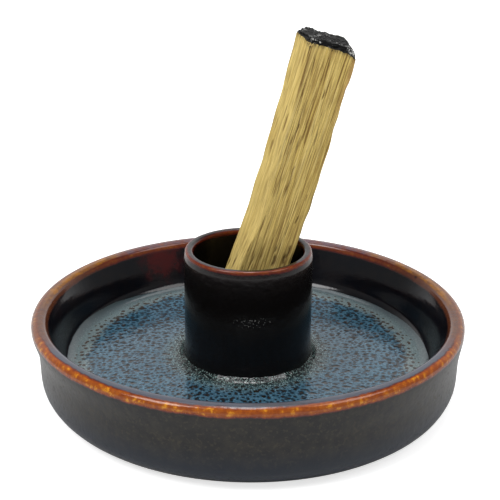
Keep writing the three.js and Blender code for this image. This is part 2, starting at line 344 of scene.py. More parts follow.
def make_pool(material):
    """Pooled glaze: flat and dimpled, with a smooth border that thins out as it climbs the cove."""
    inner = COIL_RADIUS - 1.2 * MM
    rows = 104
    reach = [inner + (POOL_EDGE_RADIUS - inner) * i / rows for i in range(rows + 1)]
    outline = [Vector((radius, FLOOR + POOL_DEPTH)) for radius in reach]
    # The underside is hidden: it follows the cove coarsely under the outer rows and is flat within them
    outline += [Vector((radius, FLOOR - 0.4 * MM)) for radius in reach[:72:-4] + [inner]]
    bm = spun(outline, steps=840, closed=True)
    pit_layer = bm.verts.layers.float.new("pit")
    border_layer = bm.verts.layers.float.new("border")
    narrowing = 1 - FLOOR_OVAL / RIM_RADIUS
    for vert in bm.verts:
        radius = vert.co.to_2d().length
        direction = vert.co.to_2d() / radius
        share = (radius - inner) / (POOL_EDGE_RADIUS - inner)
        tide = noise.fractal((direction * 2.2).to_3d(), 1.0, 2.0, 4)
        tongue = bump_at(math.atan2(direction.x, direction.y), TONGUE_DIRECTION, TONGUE_WIDTH)
        edge = POOL_EDGE_RADIUS + (0.35 + 0.9 * tongue + 0.2 * max(0.0, direction.x) + 0.4 * tide) * MM
        radius = inner + share * (edge - inner)
        spot = direction * radius
        bare = ceramic_height(radius)
        if vert.co.z < FLOOR:
            vert.co = Vector((spot.x * narrowing, spot.y, bare - 0.3 * MM))
            continue
        thinning = max(0.0, (radius - POOL_THINS_FROM) / (edge - POOL_THINS_FROM))
        depth = POOL_DEPTH * (1 - thinning ** 2)
        broad, small = noise_at(spot, 6 * MM), noise_at(spot, 2 * MM)
        drift = 1.2 * tide + 1.5 * broad + 0.9 * small
        border = smoothstep(BORDER_RADIUS - 5 * MM, BORDER_RADIUS + 1 * MM, radius + drift * MM)
        pit = pit_at(spot) * (1 - 0.15 * border)
        pit *= smoothstep(BORDER_RADIUS + 3 * MM, BORDER_RADIUS + 2 * MM, radius)
        vert[pit_layer] = pit
        vert[border_layer] = border
        swell = (0.05 * noise_at(spot, 5 * MM) + 0.015 * noise_at(spot, 1.6 * MM)) * MM
        height = bare + depth + swell * (1 - thinning) - PIT_DEPTH * pit * pit
        vert.co = Vector((spot.x * narrowing, spot.y, height))
    finished("pooled_glaze", bm, material, "holder", ["glaze_pool"])


def make_meniscus(material):
    """Glaze drawn up round the cup's foot in a hollow curve, which runs out into the dimpled pool."""
    inner = CUP_RADIUS - 0.4 * MM
    outer = COIL_RADIUS + MENISCUS_REACH
    base = FLOOR + POOL_DEPTH - 0.1 * MM
    steep = MENISCUS_STRAIGHT
    easing = MENISCUS_EASING
    top = base + MENISCUS_SKIN + MENISCUS_SLOPE * (steep + easing / 2)
    count = 26
    outline = [Vector((inner, base - 0.5 * MM)), Vector((outer, base - 0.5 * MM))]
    for i in range(count + 1):
        away = (outer - CUP_FOOT_RADIUS) * (1 - i / count)
        eased = min(easing, max(0.0, steep + easing - away))
        climb = MENISCUS_SLOPE * (eased ** 2 / easing / 2 + max(0.0, steep - away))
        fade = MENISCUS_SKIN * smoothstep(4.4 * MM, 3.0 * MM, away)
        outline.append(Vector((CUP_FOOT_RADIUS + away, base + fade + climb)))
    outline.append(Vector((inner, top + 0.1 * MM)))
    bm = spun(outline, steps=420, closed=True)
    pit_layer = bm.verts.layers.float.new("pit")
    for vert in bm.verts:
        flat = vert.co.to_2d()
        direction = flat.normalized().to_3d()
        slow = noise.fractal(direction * 2.5, 1.0, 2.0, 3)
        quick = noise.fractal(direction * 14.0, 1.0, 2.0, 3)
        share = smoothstep(inner, outer, flat.length)
        pit = pit_at(vert.co) * smoothstep(CUP_RADIUS + 1.2 * MM, CUP_RADIUS + 3 * MM, flat.length)
        vert[pit_layer] = pit
        ripple = 0.06 * noise.noise(vert.co / (0.9 * MM))
        if vert.co.z > base - 0.3 * MM:
            rise = smoothstep(base, top, vert.co.z)
            uneven = (0.3 * slow + 0.12 * quick) * rise + ripple * (1 - rise)
            vert.co.z += uneven * MM - PIT_DEPTH * pit * pit
        scale = 1 + (0.45 * slow + 0.2 * quick) * MM * share * (1 - share) * 2 / flat.length
        vert.co.x *= scale
        vert.co.y *= scale
    finished("foot_meniscus", bm, material, "holder", ["luting_coil"])


# Stick of split wood

STICK_PLACE = Matrix.Translation(STICK_FOOT) @ Matrix.Rotation(LEAN, 4, "Y")


def stick_section(spacing):
    """Five-sided section of the split stick, seen from its top end, with the front face towards -Y."""
    side = STICK_WIDTH / 2
    back = STICK_THICKNESS / 2
    outline = rounded_outline([
        (-side, FACET_DEPTH - back, CORNER_ROUNDING),
        (FACET_WIDTH - side, -back, RIDGE_ROUNDING),
        (side, -back, CORNER_ROUNDING),
        (side - RIGHT_INSET, back, CORNER_ROUNDING),
        (LEFT_INSET - side, back, CORNER_ROUNDING),
    ], step=math.radians(20))
    return resampled(outline, spacing, closed=True)


def bowed(point):
    """Takes a point of the straight stick to the spun, bowed and ledged one."""
    ledge = LEDGE_DEPTH * smoothstep(LEDGE_TOP - LEDGE_RUN, LEDGE_TOP, point.z)
    right = max(0.0, point.x) / (STICK_WIDTH / 2)
    turned = Matrix.Rotation(STICK_SPIN, 3, "Z") @ Vector((point.x + ledge * right, point.y, point.z))
    from_middle = 2 * point.z / STICK_LENGTH - 1
    turned.x -= STICK_BOW * from_middle ** 2
    return turned


def burn_height(x, y):
    """Height of the burn line: high at the left edge, lowest at the two corners of the front face."""
    ridge = FACET_WIDTH - STICK_WIDTH / 2
    if x < ridge:
        front = 0.4 * MM + 2.3 * MM * max(0.0, (x + STICK_WIDTH / 2) / FACET_WIDTH) ** 1.4
    else:
        left_corner = math.exp(-((x - ridge) / (0.8 * MM)) ** 2)
        right_corner = math.exp(-((x - STICK_WIDTH / 2) / (1.8 * MM)) ** 2)
        front = CHAR_DEPTH - 0.1 * MM + 1.0 * MM * left_corner + 1.2 * MM * right_corner
    to_front = smoothstep(-0.1, 0.4, -y / STICK_THICKNESS)
    ragged = 0.3 * noise.noise(Vector((x, y, 0)) / (1.3 * MM))
    ragged += 0.12 * noise.noise(Vector((x, y, 9)) / (0.4 * MM))
    return STICK_LENGTH - CHAR_DEPTH - (front - CHAR_DEPTH) * to_front + ragged * MM


def torn_edges(x, z):
    """Sideways wander of the front ridge and a splinter on the right, which the split left."""
    ridge = FACET_WIDTH - STICK_WIDTH / 2
    wander = 0.75 * bump_at(z, 46 * MM, 8 * MM) - 0.95 * bump_at(z, 25 * MM, 9 * MM)
    wander += 0.3 * noise.noise(Vector((0, 0, z / (9 * MM))))
    near_ridge = bump_at(x, ridge, 2.6 * MM)
    near_right = smoothstep(5 * MM, 8 * MM, x)
    splinter = 0.6 * bump_at(z, 28 * MM, 3.5 * MM) + 0.35 * noise.noise(Vector((5, 0, z / (6 * MM))))
    near_left = smoothstep(-5 * MM, -8 * MM, x)
    chip = 0.25 * noise.noise(Vector((9, 0, z / (7 * MM))))
    return (wander * near_ridge + splinter * near_right + chip * near_left) * MM


def drying_crack(across, y, along):
    """How deep in one of the cracks of the front face the point lies, 0 to 1."""
    if y > 0:
        return 0.0
    deepest = 0.0
    for x, low, high, width in CRACKS:
        inside = smoothstep(low - 0.6, low + 0.6, along) * smoothstep(high + 0.6, high - 0.6, along)
        deepest = max(deepest, inside * bump_at(across + 0.12 * math.sin(along * 1.7), x, width))
    return deepest


def split_surface(x, y, z):
    """Relief of the split surface, in metres outwards, and how deep in a crevice the point lies, 0 to 1."""
    sway = 0.35 * noise.noise(Vector((x / (6 * MM), y / (6 * MM), z / (16 * MM))))
    u, v, w = x / MM + sway, y / MM + sway, z / MM
    broad = 0.16 * noise.noise(Vector((u / 4.5, v / 4.5, w / 30)))
    slivers = 1 - abs(noise.noise(Vector((u / 1.3, v / 1.3, w / 26)))) * 2
    fibres = 1 - abs(noise.noise(Vector((u / 0.6 + 17, v / 0.6, w / 14)))) * 2
    threads = noise.noise(Vector((u / 0.3, v / 0.3 + 5, w / 5)))
    lift = broad + 0.07 * slivers + 0.05 * fibres + 0.035 * threads
    open_grain = smoothstep(0.42, 0.62, noise.noise(Vector((u / 0.45 + 31, v / 0.45, w / 12))))
    near_foot = smoothstep(40, 28, w)
    checks = smoothstep(0.38, 0.56, noise.noise(Vector((u / 0.5 + 71, v / 0.5, w / 5)))) * near_foot * 0.8
    crevice = max(open_grain * 0.7, checks, drying_crack(x / MM, y, w))
    lift -= 0.28 * crevice
    furrow = smoothstep(0.0, 0.9, -threads - slivers * 0.5 + 0.4)
    return (lift - 0.06) * MM, min(1.0, crevice + 0.35 * furrow)


def make_stick(material):
    """The section drawn out along the grain, burnt off at its end, split rough, torn and bowed."""
    bm = bmesh.new()
    section = stick_section(0.2 * MM)
    verts = [bm.verts.new((p.x, p.y, 0)) for p in section]
    edges = [bm.edges.new(pair) for pair in zip(verts, verts[1:] + verts[:1])]
    rows = 165
    length = STICK_LENGTH - 0.3 * MM
    bmesh.ops.spin(bm, geom=verts + edges, axis=(0, 0, 1), dvec=(0, 0, length / rows), angle=0, steps=rows)
    ends = [e for e in bm.edges if e.is_boundary]
    bmesh.ops.holes_fill(bm, edges=ends, sides=0)
    bmesh.ops.triangulate(bm, faces=[f for f in bm.faces if len(f.verts) > 4])
    bmesh.ops.recalc_face_normals(bm, faces=bm.faces)
    crevice_layer = bm.verts.layers.float.new("crevice")
    scorch_layer = bm.verts.layers.float.new("scorch")
    facet_layer = bm.verts.layers.float.new("facet")
    ridge = FACET_WIDTH - STICK_WIDTH / 2
    for vert in bm.verts:
        x, y, z = vert.co
        on_facet = y < FACET_DEPTH - STICK_THICKNESS / 2
        vert[facet_layer] = smoothstep(ridge + 0.1 * MM, ridge - 0.25 * MM, x) if on_facet else 0.0
        outward = Vector((x / STICK_WIDTH, y / STICK_THICKNESS)).normalized()
        lift, crevice = split_surface(x, y, z)
        burn = burn_height(x, y)
        vert[crevice_layer] = crevice
        vert[scorch_layer] = smoothstep(1.1 * MM, 0.0, burn - z)
        x += torn_edges(x, z)
        vert.co = bowed(Vector((x + outward.x * lift, y + outward.y * lift, min(z, burn))))
    bm.transform(STICK_PLACE)
    finished("split_stick", bm, material, "stick", ["palo_santo_stick"])


def evenly_meshed(bm, voxel):
    """The same solid as a fine, even mesh, so that it can be crumbled."""
    block = bpy.data.objects.new("char_block", bpy.data.meshes.new("char_block"))
    bm.to_mesh(block.data)
    bm.free()
    bpy.context.scene.collection.objects.link(block)
    remesh = block.modifiers.new("even", "REMESH")
    remesh.mode = "VOXEL"
    remesh.voxel_size = voxel
    even = bpy.data.meshes.new_from_object(block.evaluated_get(bpy.context.evaluated_depsgraph_get()))
    bpy.data.objects.remove(block)
    bm = bmesh.new()
    bm.from_mesh(even)
    bm.normal_update()
    return bm


def make_char(material):
    """Burnt end: a block of the stick's section, rounded over at the right, cracked and crumbled."""
    bm = bmesh.new()
    verts = [bm.verts.new((p.x * 0.985, p.y * 0.985, 0)) for p in stick_section(0.5 * MM)]
    face = bm.faces.new(verts)
    grown = bmesh.ops.extrude_face_region(bm, geom=[face])["geom"]
    top = [v for v in grown if isinstance(v, bmesh.types.BMVert)]
    for vert in top:
        vert.co.z = STICK_LENGTH
    for vert in verts:
        vert.co.z = burn_height(vert.co.x, vert.co.y) - CHAR_OVERLAP
    bmesh.ops.recalc_face_normals(bm, faces=bm.faces)
    bmesh.ops.bevel(bm, geom=[e for e in bm.edges if all(v in top for v in e.verts)], offset=0.6 * MM,
                    offset_type="OFFSET", affect="EDGES", segments=3, profile=0.5, material=-1)
    bmesh.ops.triangulate(bm, faces=[f for f in bm.faces if len(f.verts) > 4])
    bm = evenly_meshed(bm, 0.18 * MM)
    crack_layer = bm.verts.layers.float.new("crack")
    moves = []
    for vert in bm.verts:
        x, y, z = vert.co
        spot = vert.co / MM
        nearest = noise.voronoi(spot / 1.6)[0]
        crack = smoothstep(0.18, 0.02, nearest[1] - nearest[0])
        lump = 0.45 * noise.noise(spot / 2.4)
        lump += 0.2 * noise.noise(spot / 0.9) + 0.08 * noise.noise(spot / 0.35)
        above = smoothstep(-0.1 * MM, 0.6 * MM, z - burn_height(x, y))
        vert[crack_layer] = crack
        move = vert.normal * (lump - 0.3 * crack - 0.2) * above * MM
        at_right = smoothstep(5.6 * MM, 8.6 * MM, x) ** 2
        at_top = smoothstep(-2.5 * MM, 0, z - STICK_LENGTH)
        moves.append(move - Vector((0, 0, 1.5 * MM * at_right * at_top)))
    for vert, move in zip(bm.verts, moves):
        moved = vert.co + move
        vert.co = bowed(Vector((moved.x + torn_edges(moved.x, moved.z), moved.y, moved.z)))
    bm.transform(STICK_PLACE)
    finished("charred_end", bm, material, "stick", ["charred_tip"])


# Materials

class Graph:
    """Adds nodes to one tree. An input given as a socket is linked, and any other value is set."""

    def __init__(self, tree):
        self.tree = tree

    def feed(self, made, inputs):
        for key, value in inputs.items():
            if isinstance(value, bpy.types.NodeSocket):
                self.tree.links.new(value, made.inputs[key])
            else:
                made.inputs[key].default_value = value
        return made

    def add(self, kind, inputs=None, **settings):
        made = self.tree.nodes.new(kind)
        for name, value in settings.items():
            setattr(made, name, value)
        return self.feed(made, inputs or {})

    def grouped(self, tree, inputs):
        return self.add("ShaderNodeGroup", inputs, node_tree=tree).outputs

    def math(self, operation, *values, clamp=False):
        inputs = dict(enumerate(values))
        return self.add("ShaderNodeMath", inputs, operation=operation, use_clamp=clamp).outputs[0]

    def plus(self, a, b):
        return self.math("ADD", a, b)

    def minus(self, a, b):
        return self.math("SUBTRACT", a, b)

    def times(self, a, b):
        return self.math("MULTIPLY", a, b)

    def larger(self, a, b):
        return self.math("MAXIMUM", a, b)

    def blend(self, share, a, b):
        """Mix of two values."""
        return self.add("ShaderNodeMix", {0: share, 2: a, 3: b}).outputs[0]

    def mix(self, share, a, b):
        """Mix of two colours."""
        return self.add("ShaderNodeMix", {0: share, 6: a, 7: b}, data_type="RGBA").outputs[2]

    def tint(self, colour, mask, strength, other):
        """Lays another colour over a colour, where the mask says and at most by the strength."""
        return self.mix(self.times(mask, strength), colour, other)

    def between(self, value, low, high, start=0.0, end=1.0):
        """Smooth step of a value from start at low to end at high."""
        return self.add("ShaderNodeMapRange", {0: value, 1: low, 2: high, 3: start, 4: end},
                        interpolation_type="SMOOTHSTEP").outputs[0]

    def noise(self, vector, scale, detail=3.0, rough=0.5):
        return self.add("ShaderNodeTexNoise", {"Vector": vector, "Scale": scale, "Detail": detail,
                                               "Roughness": rough}).outputs[0]

    def split(self, vector):
        return self.add("ShaderNodeSeparateXYZ", {0: vector}).outputs

    def distance(self, a, b):
        return self.add("ShaderNodeVectorMath", {0: a, 1: b}, operation="DISTANCE").outputs["Value"]

    def in_millimetres(self, vector):
        return self.add("ShaderNodeVectorMath", {0: vector, "Scale": 1 / MM}, operation="SCALE").outputs[0]

    def object_place(self):
        return self.add("ShaderNodeTexCoord").outputs["Object"]


def rgb(red, green, blue):
    """A colour given in 0 to 255 as it looks on screen, as the linear one that nodes take."""
    def linear(value):
        value /= 255
        return value / 12.92 if value <= 0.04045 else ((value + 0.055) / 1.055) ** 2.4
    return (linear(red), linear(green), linear(blue), 1)


def new_group(name, inputs, outputs):
    """A node group's graph, with what it is given and what it gives back."""
    tree = bpy.data.node_groups.new(name, "ShaderNodeTree")
    kinds = {"value": "NodeSocketFloat", "colour": "NodeSocketColor", "vector": "NodeSocketVector"}
    for label, kind in inputs:
        tree.interface.new_socket(label, in_out="INPUT", socket_type=kinds[kind])
    for label, kind in outputs:
        tree.interface.new_socket(label, in_out="OUTPUT", socket_type=kinds[kind])
    graph = Graph(tree)
    return graph, graph.add("NodeGroupInput").outputs, graph.add("NodeGroupOutput").inputs


def pot_place_group():
    """Distance from the pot's axis, height above the table and place, all in millimetres."""
    graph, _, outputs = new_group("pot_place", [],
                                  [("Radius", "value"), ("Height", "value"), ("Place", "vector")])
    scaled = graph.in_millimetres(graph.object_place())
    split = graph.split(scaled)
    across = graph.math("SQRT", graph.plus(graph.times(split[0], split[0]),
                                           graph.times(split[1], split[1])))
    graph.tree.links.new(across, outputs["Radius"])
    graph.tree.links.new(split[2], outputs["Height"])
    graph.tree.links.new(scaled, outputs["Place"])
    return graph.tree


def edge_break_group():
    """Where glaze runs thin over an edge: 1 on the ring at a radius and height, 0 beyond an uneven width."""
    graph, given, outputs = new_group("edge_break", [
        ("Radius", "value"), ("Height", "value"), ("Place", "vector"),
        ("Ring Radius", "value"), ("Ring Height", "value"), ("Width", "value"), ("Unevenness", "value"),
    ], [("Mask", "value")])
    across = graph.minus(given["Radius"], given["Ring Radius"])
    above = graph.minus(given["Height"], given["Ring Height"])
    away = graph.math("SQRT", graph.plus(graph.times(across, across), graph.times(above, above)))
    slow = graph.noise(given["Place"], 0.11, 3)
    fast = graph.noise(given["Place"], 0.8, 3, 0.6)
    wander = graph.plus(graph.minus(slow, 0.5), graph.times(graph.minus(fast, 0.5), 0.6))
    width = graph.times(given["Width"], graph.plus(1.0, graph.times(wander, given["Unevenness"])))
    mask = graph.math("SUBTRACT", 1.0, graph.math("DIVIDE", away, width), clamp=True)
    graph.tree.links.new(mask, outputs["Mask"])
    return graph.tree


def speckle_group():
    """Fine mottling of a fired glaze: a cloudy value and sparse iron specks, both 0 to 1."""
    graph, given, outputs = new_group("kiln_speckle", [("Place", "vector"), ("Cell", "value")],
                                      [("Cloud", "value"), ("Speck", "value")])
    cell = graph.math("DIVIDE", 1.0, given["Cell"])
    cloud = graph.noise(given["Place"], graph.times(cell, 0.3), 4, 0.6)
    grain = graph.noise(given["Place"], cell, 2, 0.5)
    graph.tree.links.new(graph.between(cloud, 0.35, 0.68), outputs["Cloud"])
    graph.tree.links.new(graph.between(grain, 0.54, 0.68), outputs["Speck"])
    return graph.tree


def rust_group():
    """Rust of the iron in a thin glaze: dark red at its limit, then orange-brown, with flecks of gold."""
    graph, given, outputs = new_group("thin_glaze_rust", [
        ("Mask", "value"), ("Place", "vector"), ("Gold", "colour"),
    ], [("Colour", "colour")])
    gold_from = 0.84
    fleck = graph.noise(given["Place"], 0.6, 3, 0.6)
    cloud = graph.noise(given["Place"], 0.16, 3, 0.6)
    strength = graph.times(graph.between(given["Mask"], 0.0, 0.6), graph.between(fleck, 0.36, 0.7, 0.6, 1.0))
    strength = graph.times(strength, graph.between(cloud, 0.35, 0.65, 0.86, 1.08))
    ramp = graph.add("ShaderNodeValToRGB", {0: strength})
    stops = ramp.color_ramp.elements
    stops[0].position, stops[0].color = 0.0, rgb(36, 22, 22)
    stops[1].position, stops[1].color = gold_from, rgb(149, 79, 22)
    for position, colour in ((0.25, rgb(80, 34, 28)), (0.5, rgb(121, 55, 23))):
        stops.new(position).color = colour
    golden = graph.add("ShaderNodeMapRange", {0: strength, 1: gold_from, 2: 1.0}).outputs[0]
    graph.tree.links.new(graph.mix(golden, ramp.outputs[0], given["Gold"]), outputs["Colour"])
    return graph.tree


def stick_axes_group():
    """Place on the stick's own axes, in millimetres, with z along the grain."""
    graph, _, outputs = new_group("stick_axes", [], [("Place", "vector")])
    turned = graph.add("ShaderNodeMapping", {"Vector": graph.object_place(), "Location": STICK_FOOT,
                                             "Rotation": (0, LEAN, 0)}, vector_type="TEXTURE").outputs[0]
    graph.tree.links.new(graph.in_millimetres(turned), outputs["Place"])
    return graph.tree


# Middle of a dark red patch on the inner wall, in millimetres
RED_PATCH = (-30, 50, 22)
# Pinholes of the rim, each with a dark ring, in millimetres, and the ring's radius
RIM_SPOTS = (((53.4, 26.2, 25.2), 0.4), ((-52.0, 21.9, 25.2), 1.3))
# Pale grey-white spots on the burnt end, on the stick's own axes in millimetres, with their radius
PALE_SPOTS = (((-7.3, -3.3, 98.1), 0.5), ((-5.8, -8.0, 97.8), 0.5), ((-5.2, -8.0, 97.5), 0.6),
             ((-4.5, -8.0, 97.6), 0.6), ((-3.8, -8.0, 97.4), 0.5), ((-3.2, -8.0, 97.3), 0.5),
             ((1.1, -7.8, 97.4), 0.4), ((5.0, -7.2, 97.6), 0.8), ((5.8, -7.0, 97.2), 1.0),
             ((6.5, -6.6, 96.9), 1.0), ((6.6, -5.4, 97.0), 0.8))
# The painted broken highlight on the cup's front: its middle and half sizes, in millimetres
PAINTED_HIGHLIGHT = (1.4, -19.0, 28.8)
PAINTED_HIGHLIGHT_SIZE = (6.5, 6.5, 1.9)


def new_material(name):
    material = bpy.data.materials.new(name)
    material.use_nodes = True
    material.node_tree.nodes.clear()
    return material, Graph(material.node_tree)


def output_surface(graph, **sockets):
    """Ends a material in one Principled shader, with the given values and links."""
    names = {key: key.replace("_", " ") for key in sockets}
    shader = graph.add("ShaderNodeBsdfPrincipled", {names[key]: value for key, value in sockets.items()})
    graph.add("ShaderNodeOutputMaterial", {"Surface": shader.outputs[0]})


def bumped(graph, height, distance, strength):
    inputs = {"Height": height, "Distance": distance, "Strength": strength}
    return graph.add("ShaderNodeBump", inputs).outputs[0]


POT_PLACE = pot_place_group()
EDGE_BREAK = edge_break_group()
SPECKLE = speckle_group()
RUST = rust_group()
STICK_AXES = stick_axes_group()


def dish_material():
    """Near-black glaze, satin outside and glossy inside, that breaks to rust and ochre over the rim."""
    material, graph = new_material("dish_glaze")
    place = graph.grouped(POT_PLACE, {})
    where = place["Place"]
    speckle = graph.grouped(SPECKLE, {"Place": where, "Cell": 1.0})
    radius, height = place["Radius"], place["Height"]
    rim_top = RIM_TOP / MM
    rim_inner = (RIM_RADIUS - RIM_THICKNESS) / MM

    outer = graph.mix(speckle["Cloud"], rgb(9, 9, 11), rgb(32, 29, 23))
    outer = graph.tint(outer, speckle["Speck"], 0.55, rgb(54, 48, 36))
    outer = graph.mix(graph.between(height, 4.0, 15.0, 0.85, 0.0), outer, rgb(13, 26, 42))
    inner = graph.mix(speckle["Cloud"], rgb(6, 8, 14), rgb(14, 12, 15))
    # A dark red patch high on the inner wall
    red_patch_away = graph.distance(where, RED_PATCH)
    red_patch = graph.between(graph.plus(red_patch_away, graph.times(speckle["Cloud"], 4.0)), 4.0, 12.0, 1.0, 0.0)
    inner = graph.tint(inner, red_patch, 0.9, rgb(64, 10, 10))
    inside = graph.between(radius, rim_inner + 0.2, rim_inner + 1.4, 1.0, 0.0)
    body = graph.mix(inside, outer, inner)

    sideways, depth, _ = graph.split(where)
    across = graph.math("ABSOLUTE", sideways)
    patch = graph.noise(where, 0.1, 3, 0.6)
    mottle = graph.noise(where, 0.45, 4, 0.6)
    thin = graph.plus(graph.between(across, 30.0, 54.0), graph.times(graph.minus(patch, 0.5), 1.6))
    top = graph.between(height, rim_top - 2.4, rim_top - 0.8)
    thick_top = graph.mix(graph.between(mottle, 0.38, 0.68), rgb(84, 62, 70), rgb(98, 54, 42))
    front = graph.between(depth, -34.0, -16.0, 1.0, 0.0)
    thick_top = graph.mix(front, thick_top, rgb(68, 70, 80))
    body = graph.mix(top, body, thick_top)
    thin = graph.times(graph.between(thin, 0.3, 0.9), graph.minus(1.0, front))
    thin = graph.times(thin, top)
    ochre = graph.between(mottle, 0.35, 0.7, 1.0, 0.3)
    ochre = graph.times(ochre, graph.between(depth, -4.0, 14.0, 0.2, 1.0))
    body = graph.mix(thin, body, graph.mix(ochre, rgb(72, 44, 40), rgb(132, 84, 20)))

    outer_edge = graph.grouped(EDGE_BREAK, {
        "Radius": radius, "Height": height, "Place": where, "Ring Radius": RIM_RADIUS / MM - 0.2,
        "Ring Height": rim_top - 0.6, "Width": 1.9, "Unevenness": 0.8})["Mask"]
    inner_edge = graph.grouped(EDGE_BREAK, {
        "Radius": radius, "Height": height, "Place": where, "Ring Radius": rim_inner + 0.3,
        "Ring Height": rim_top - 1.1, "Width": 1.3, "Unevenness": 1.4})["Mask"]
    edge = graph.larger(outer_edge, graph.times(inner_edge, 0.6))
    rust = graph.grouped(RUST, {"Mask": graph.larger(edge, graph.times(thin, 0.34)), "Place": where,
                                "Gold": rgb(188, 124, 30)})["Colour"]
    rust = graph.tint(rust, graph.between(inner_edge, 0.0, 0.3), 0.6, rgb(70, 22, 18))
    side = graph.times(graph.between(across, 44.0, 58.0), graph.minus(1.0, front))
    rust = graph.tint(rust, side, 0.65, rgb(82, 50, 32))
    colour = graph.mix(graph.between(edge, 0.0, 0.3), body, rust)
    for spot, reach in RIM_SPOTS:
        away = graph.distance(where, spot)
        ring = graph.math("ABSOLUTE", graph.minus(away, reach))
        colour = graph.mix(graph.between(ring, 0.3, 0.9, 0.85, 0.0), colour, rgb(40, 10, 9))

    bare = graph.between(height, 0.15, 0.5, 1.0, 0.0)
    clay = graph.mix(speckle["Cloud"], rgb(176, 148, 118), rgb(150, 120, 92))
    colour = graph.mix(bare, colour, clay)
    satin = graph.plus(0.34, graph.times(speckle["Speck"], 0.12))
    rough = graph.blend(graph.larger(inside, top), satin, 0.14)
    rough = graph.blend(bare, rough, 0.9)
    peel = graph.noise(where, 0.55, 3, 0.55)
    peel = graph.times(peel, graph.minus(1.0, graph.times(inside, 0.45)))
    grains = graph.times(graph.noise(where, 1.6, 2, 0.5), graph.times(front, top))
    peel = graph.plus(peel, graph.times(grains, 0.35))
    output_surface(graph, Base_Color=colour, Roughness=rough, IOR=1.42,
                   Normal=bumped(graph, peel, 0.12 * MM, 0.6))
    return material


def cup_material():
    """Glossy black glaze that breaks to dark red at the rim, with a painted broken highlight on its front."""
    material, graph = new_material("cup_glaze")
    place = graph.grouped(POT_PLACE, {})
    where = place["Place"]
    radius, height = place["Radius"], place["Height"]
    speckle = graph.grouped(SPECKLE, {"Place": where, "Cell": 0.9})
    cup_top = CUP_TOP / MM
    body = graph.mix(graph.between(height, FLOOR / MM + 8, cup_top - 6), rgb(11, 7, 5), rgb(8, 7, 6))
    body = graph.tint(body, speckle["Cloud"], 0.4, rgb(12, 11, 12))
    # Painted highlight: a soft grey patch with bright sparks on the cup's front, standing for a broken
    # reflection
    flattened = graph.add("ShaderNodeMapping", {"Vector": where, "Location": PAINTED_HIGHLIGHT, "Scale": PAINTED_HIGHLIGHT_SIZE},
                          vector_type="TEXTURE").outputs[0]
    highlight_away = graph.add("ShaderNodeVectorMath", {0: flattened}, operation="LENGTH").outputs["Value"]
    spark = graph.between(graph.noise(where, 1.8, 2, 0.5), 0.62, 0.67)
    body = graph.mix(graph.between(highlight_away, 0.2, 2.2, 0.35, 0.0), body, rgb(26, 26, 26))
    spark = graph.times(spark, graph.between(highlight_away, 0.3, 1.1, 0.9, 0.0))
    body = graph.mix(spark, body, rgb(124, 124, 122))
    body = graph.mix(graph.between(height, cup_top - 4.0, cup_top - 1.0, 0.0, 0.3), body, rgb(32, 18, 15))
    body = graph.mix(graph.between(height, cup_top - 0.4, cup_top - 0.1), body, rgb(30, 28, 28))
    outer_edge = graph.grouped(EDGE_BREAK, {
        "Radius": radius, "Height": height, "Place": where, "Ring Radius": CUP_RADIUS / MM - 0.35,
        "Ring Height": cup_top - 0.25, "Width": 1.15, "Unevenness": 1.2})["Mask"]
    inner_edge = graph.grouped(EDGE_BREAK, {
        "Radius": radius, "Height": height, "Place": where,
        "Ring Radius": (CUP_RADIUS - CUP_WALL) / MM + 0.15,
        "Ring Height": cup_top - 0.8, "Width": 1.0, "Unevenness": 1.2})["Mask"]
    edge = graph.times(graph.larger(outer_edge, graph.times(inner_edge, 0.8)), 0.56)
    rust = graph.grouped(RUST, {"Mask": edge, "Place": where, "Gold": rgb(150, 64, 20)})["Colour"]
    rust = graph.mix(0.6, rust, rgb(72, 10, 8))
    colour = graph.mix(graph.between(edge, 0.0, 0.3), body, rust)
    peel = graph.noise(where, 0.5, 3, 0.55)
    output_surface(graph, Base_Color=colour, Roughness=0.2, IOR=1.4,
                   Normal=bumped(graph, peel, 0.12 * MM, 0.6))
    return material


def attribute(graph, name):
    return graph.add("ShaderNodeAttribute", attribute_name=name).outputs["Fac"]


